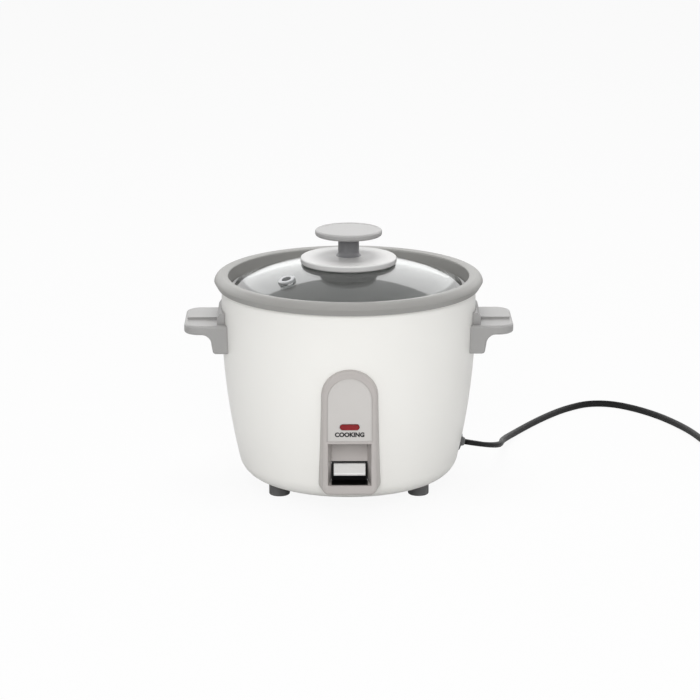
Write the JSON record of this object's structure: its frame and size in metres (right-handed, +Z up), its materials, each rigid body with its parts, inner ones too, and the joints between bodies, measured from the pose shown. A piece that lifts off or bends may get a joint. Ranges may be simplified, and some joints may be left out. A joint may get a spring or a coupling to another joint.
{
  "type": "rice cooker",
  "caption": "Small round rice cooker with a domed glass lid, lift-out pan, two side handles, an arched front panel with lamp and press-down switch, and a cord coiled by its plug.",
  "frame": {"origin": "on the table, under the middle of the round shell", "axes": "+Z up, front with the switch panel towards -Y, +X to the viewer's right along the line of the handles"},
  "size_m": [0.4543, 0.2958, 0.1864],
  "materials": {
    "enamel": "gloss",
    "rim_grey": "satin",
    "handle_grey": "satin",
    "knob_grey": "satin",
    "saucer_grey": "satin",
    "panel_grey": "satin",
    "stem_grey": "satin",
    "plate_grey": "satin",
    "black_plastic": "satin",
    "key_white": "gloss",
    "lens_red": "gloss",
    "lid_glass": "clear",
    "bulb_glass": "clear",
    "aluminium": "satin",
    "steel": "satin",
    "ferrite": "satin",
    "ceramic": "gloss",
    "rubber": "matte",
    "cord_black": "satin",
    "tie": "matte",
    "brass": "satin"
  },
  "bodies": {
    "housing": {"outer_shell": "enamel", "rim_ring": "rim_grey", "left_handle": "handle_grey", "right_handle": "handle_grey", "panel_frame": "panel_grey", "panel_plate": "plate_grey", "switch_surround": "black_plastic", "lamp_holder": "black_plastic", "micro_switch": "black_plastic", "lamp_lens": "lens_red", "lamp_bulb": "bulb_glass", "heater_plate": "aluminium", "heat_shield": "steel", "base_plate": "steel", "sensor_holder": "steel", "lever_bracket": "steel", "lever_pin": "steel", "heater_element": "steel", "base_screws": "steel", "ring_screws": "steel", "handle_screws": "steel", "panel_screws": "steel", "bracket_screws": "steel", "heater_screws": "steel", "sensor_spring": "steel", "terminal_block": "ceramic", "thermal_fuse": "ceramic", "foot_front_left": "rubber", "foot_front_right": "rubber", "foot_rear": "rubber", "cord_grommet": "rubber", "cord_lead": "cord_black", "cord_coil": "cord_black", "inner_cord": "cord_black", "plug_body": "cord_black", "cord_tie": "tie", "plug_blades": "brass"},
    "pan": {"inner_pan": "aluminium"},
    "lid": {"lid_glass": "lid_glass", "steam_vent": "aluminium", "lid_saucer": "saucer_grey", "lid_stem": "stem_grey", "lid_knob": "knob_grey", "lid_washer": "steel", "lid_screw": "steel"},
    "sensor": {"sensor_cap": "aluminium", "sensor_ferrite": "ferrite"},
    "switch": {"switch_arm": "steel", "switch_key": "key_white"},
    "magnet": {"magnet": "ferrite", "magnet_rod": "steel", "magnet_spring": "steel"},
    "plunger": {"switch_plunger": "key_white"}
  },
  "joints": [
    {"name": "pan_lift", "type": "slide", "parent": "housing", "child": "pan", "axis": [0, 0, 1], "range_m": [0, 0.13]},
    {"name": "lid_lift", "type": "slide", "parent": "pan", "child": "lid", "axis": [0, 0, 1], "range_m": [0, 0.08]},
    {"name": "sensor_rise", "type": "slide", "parent": "housing", "child": "sensor", "axis": [0, 0, 1], "range_m": [0, 0.003], "deforming": ["sensor_spring"]},
    {"name": "switch_press", "type": "hinge", "parent": "housing", "child": "switch", "pos_m": [0, -0.032, 0.0203], "axis": [1, 0, 0], "range_deg": [0, 7], "stiffness_Nm_per_rad": 0.05, "springref_deg": -5.73},
    {"name": "magnet_lift", "type": "slide", "parent": "housing", "child": "magnet", "axis": [0, 0, 1], "range_m": [0, 0.004], "deforming": ["magnet_spring"]},
    {"name": "plunger_press", "type": "slide", "parent": "housing", "child": "plunger", "axis": [0, 0, 1], "range_m": [-0.0018, 0]}
  ],
  "couplings": [
    {"joint": "sensor_rise", "follows": "pan_lift", "ratio": 0.023077},
    {"joint": "magnet_lift", "follows": "switch_press", "m_per_rad": 0.032},
    {"joint": "plunger_press", "follows": "switch_press", "m_per_rad": -0.014}
  ]
}
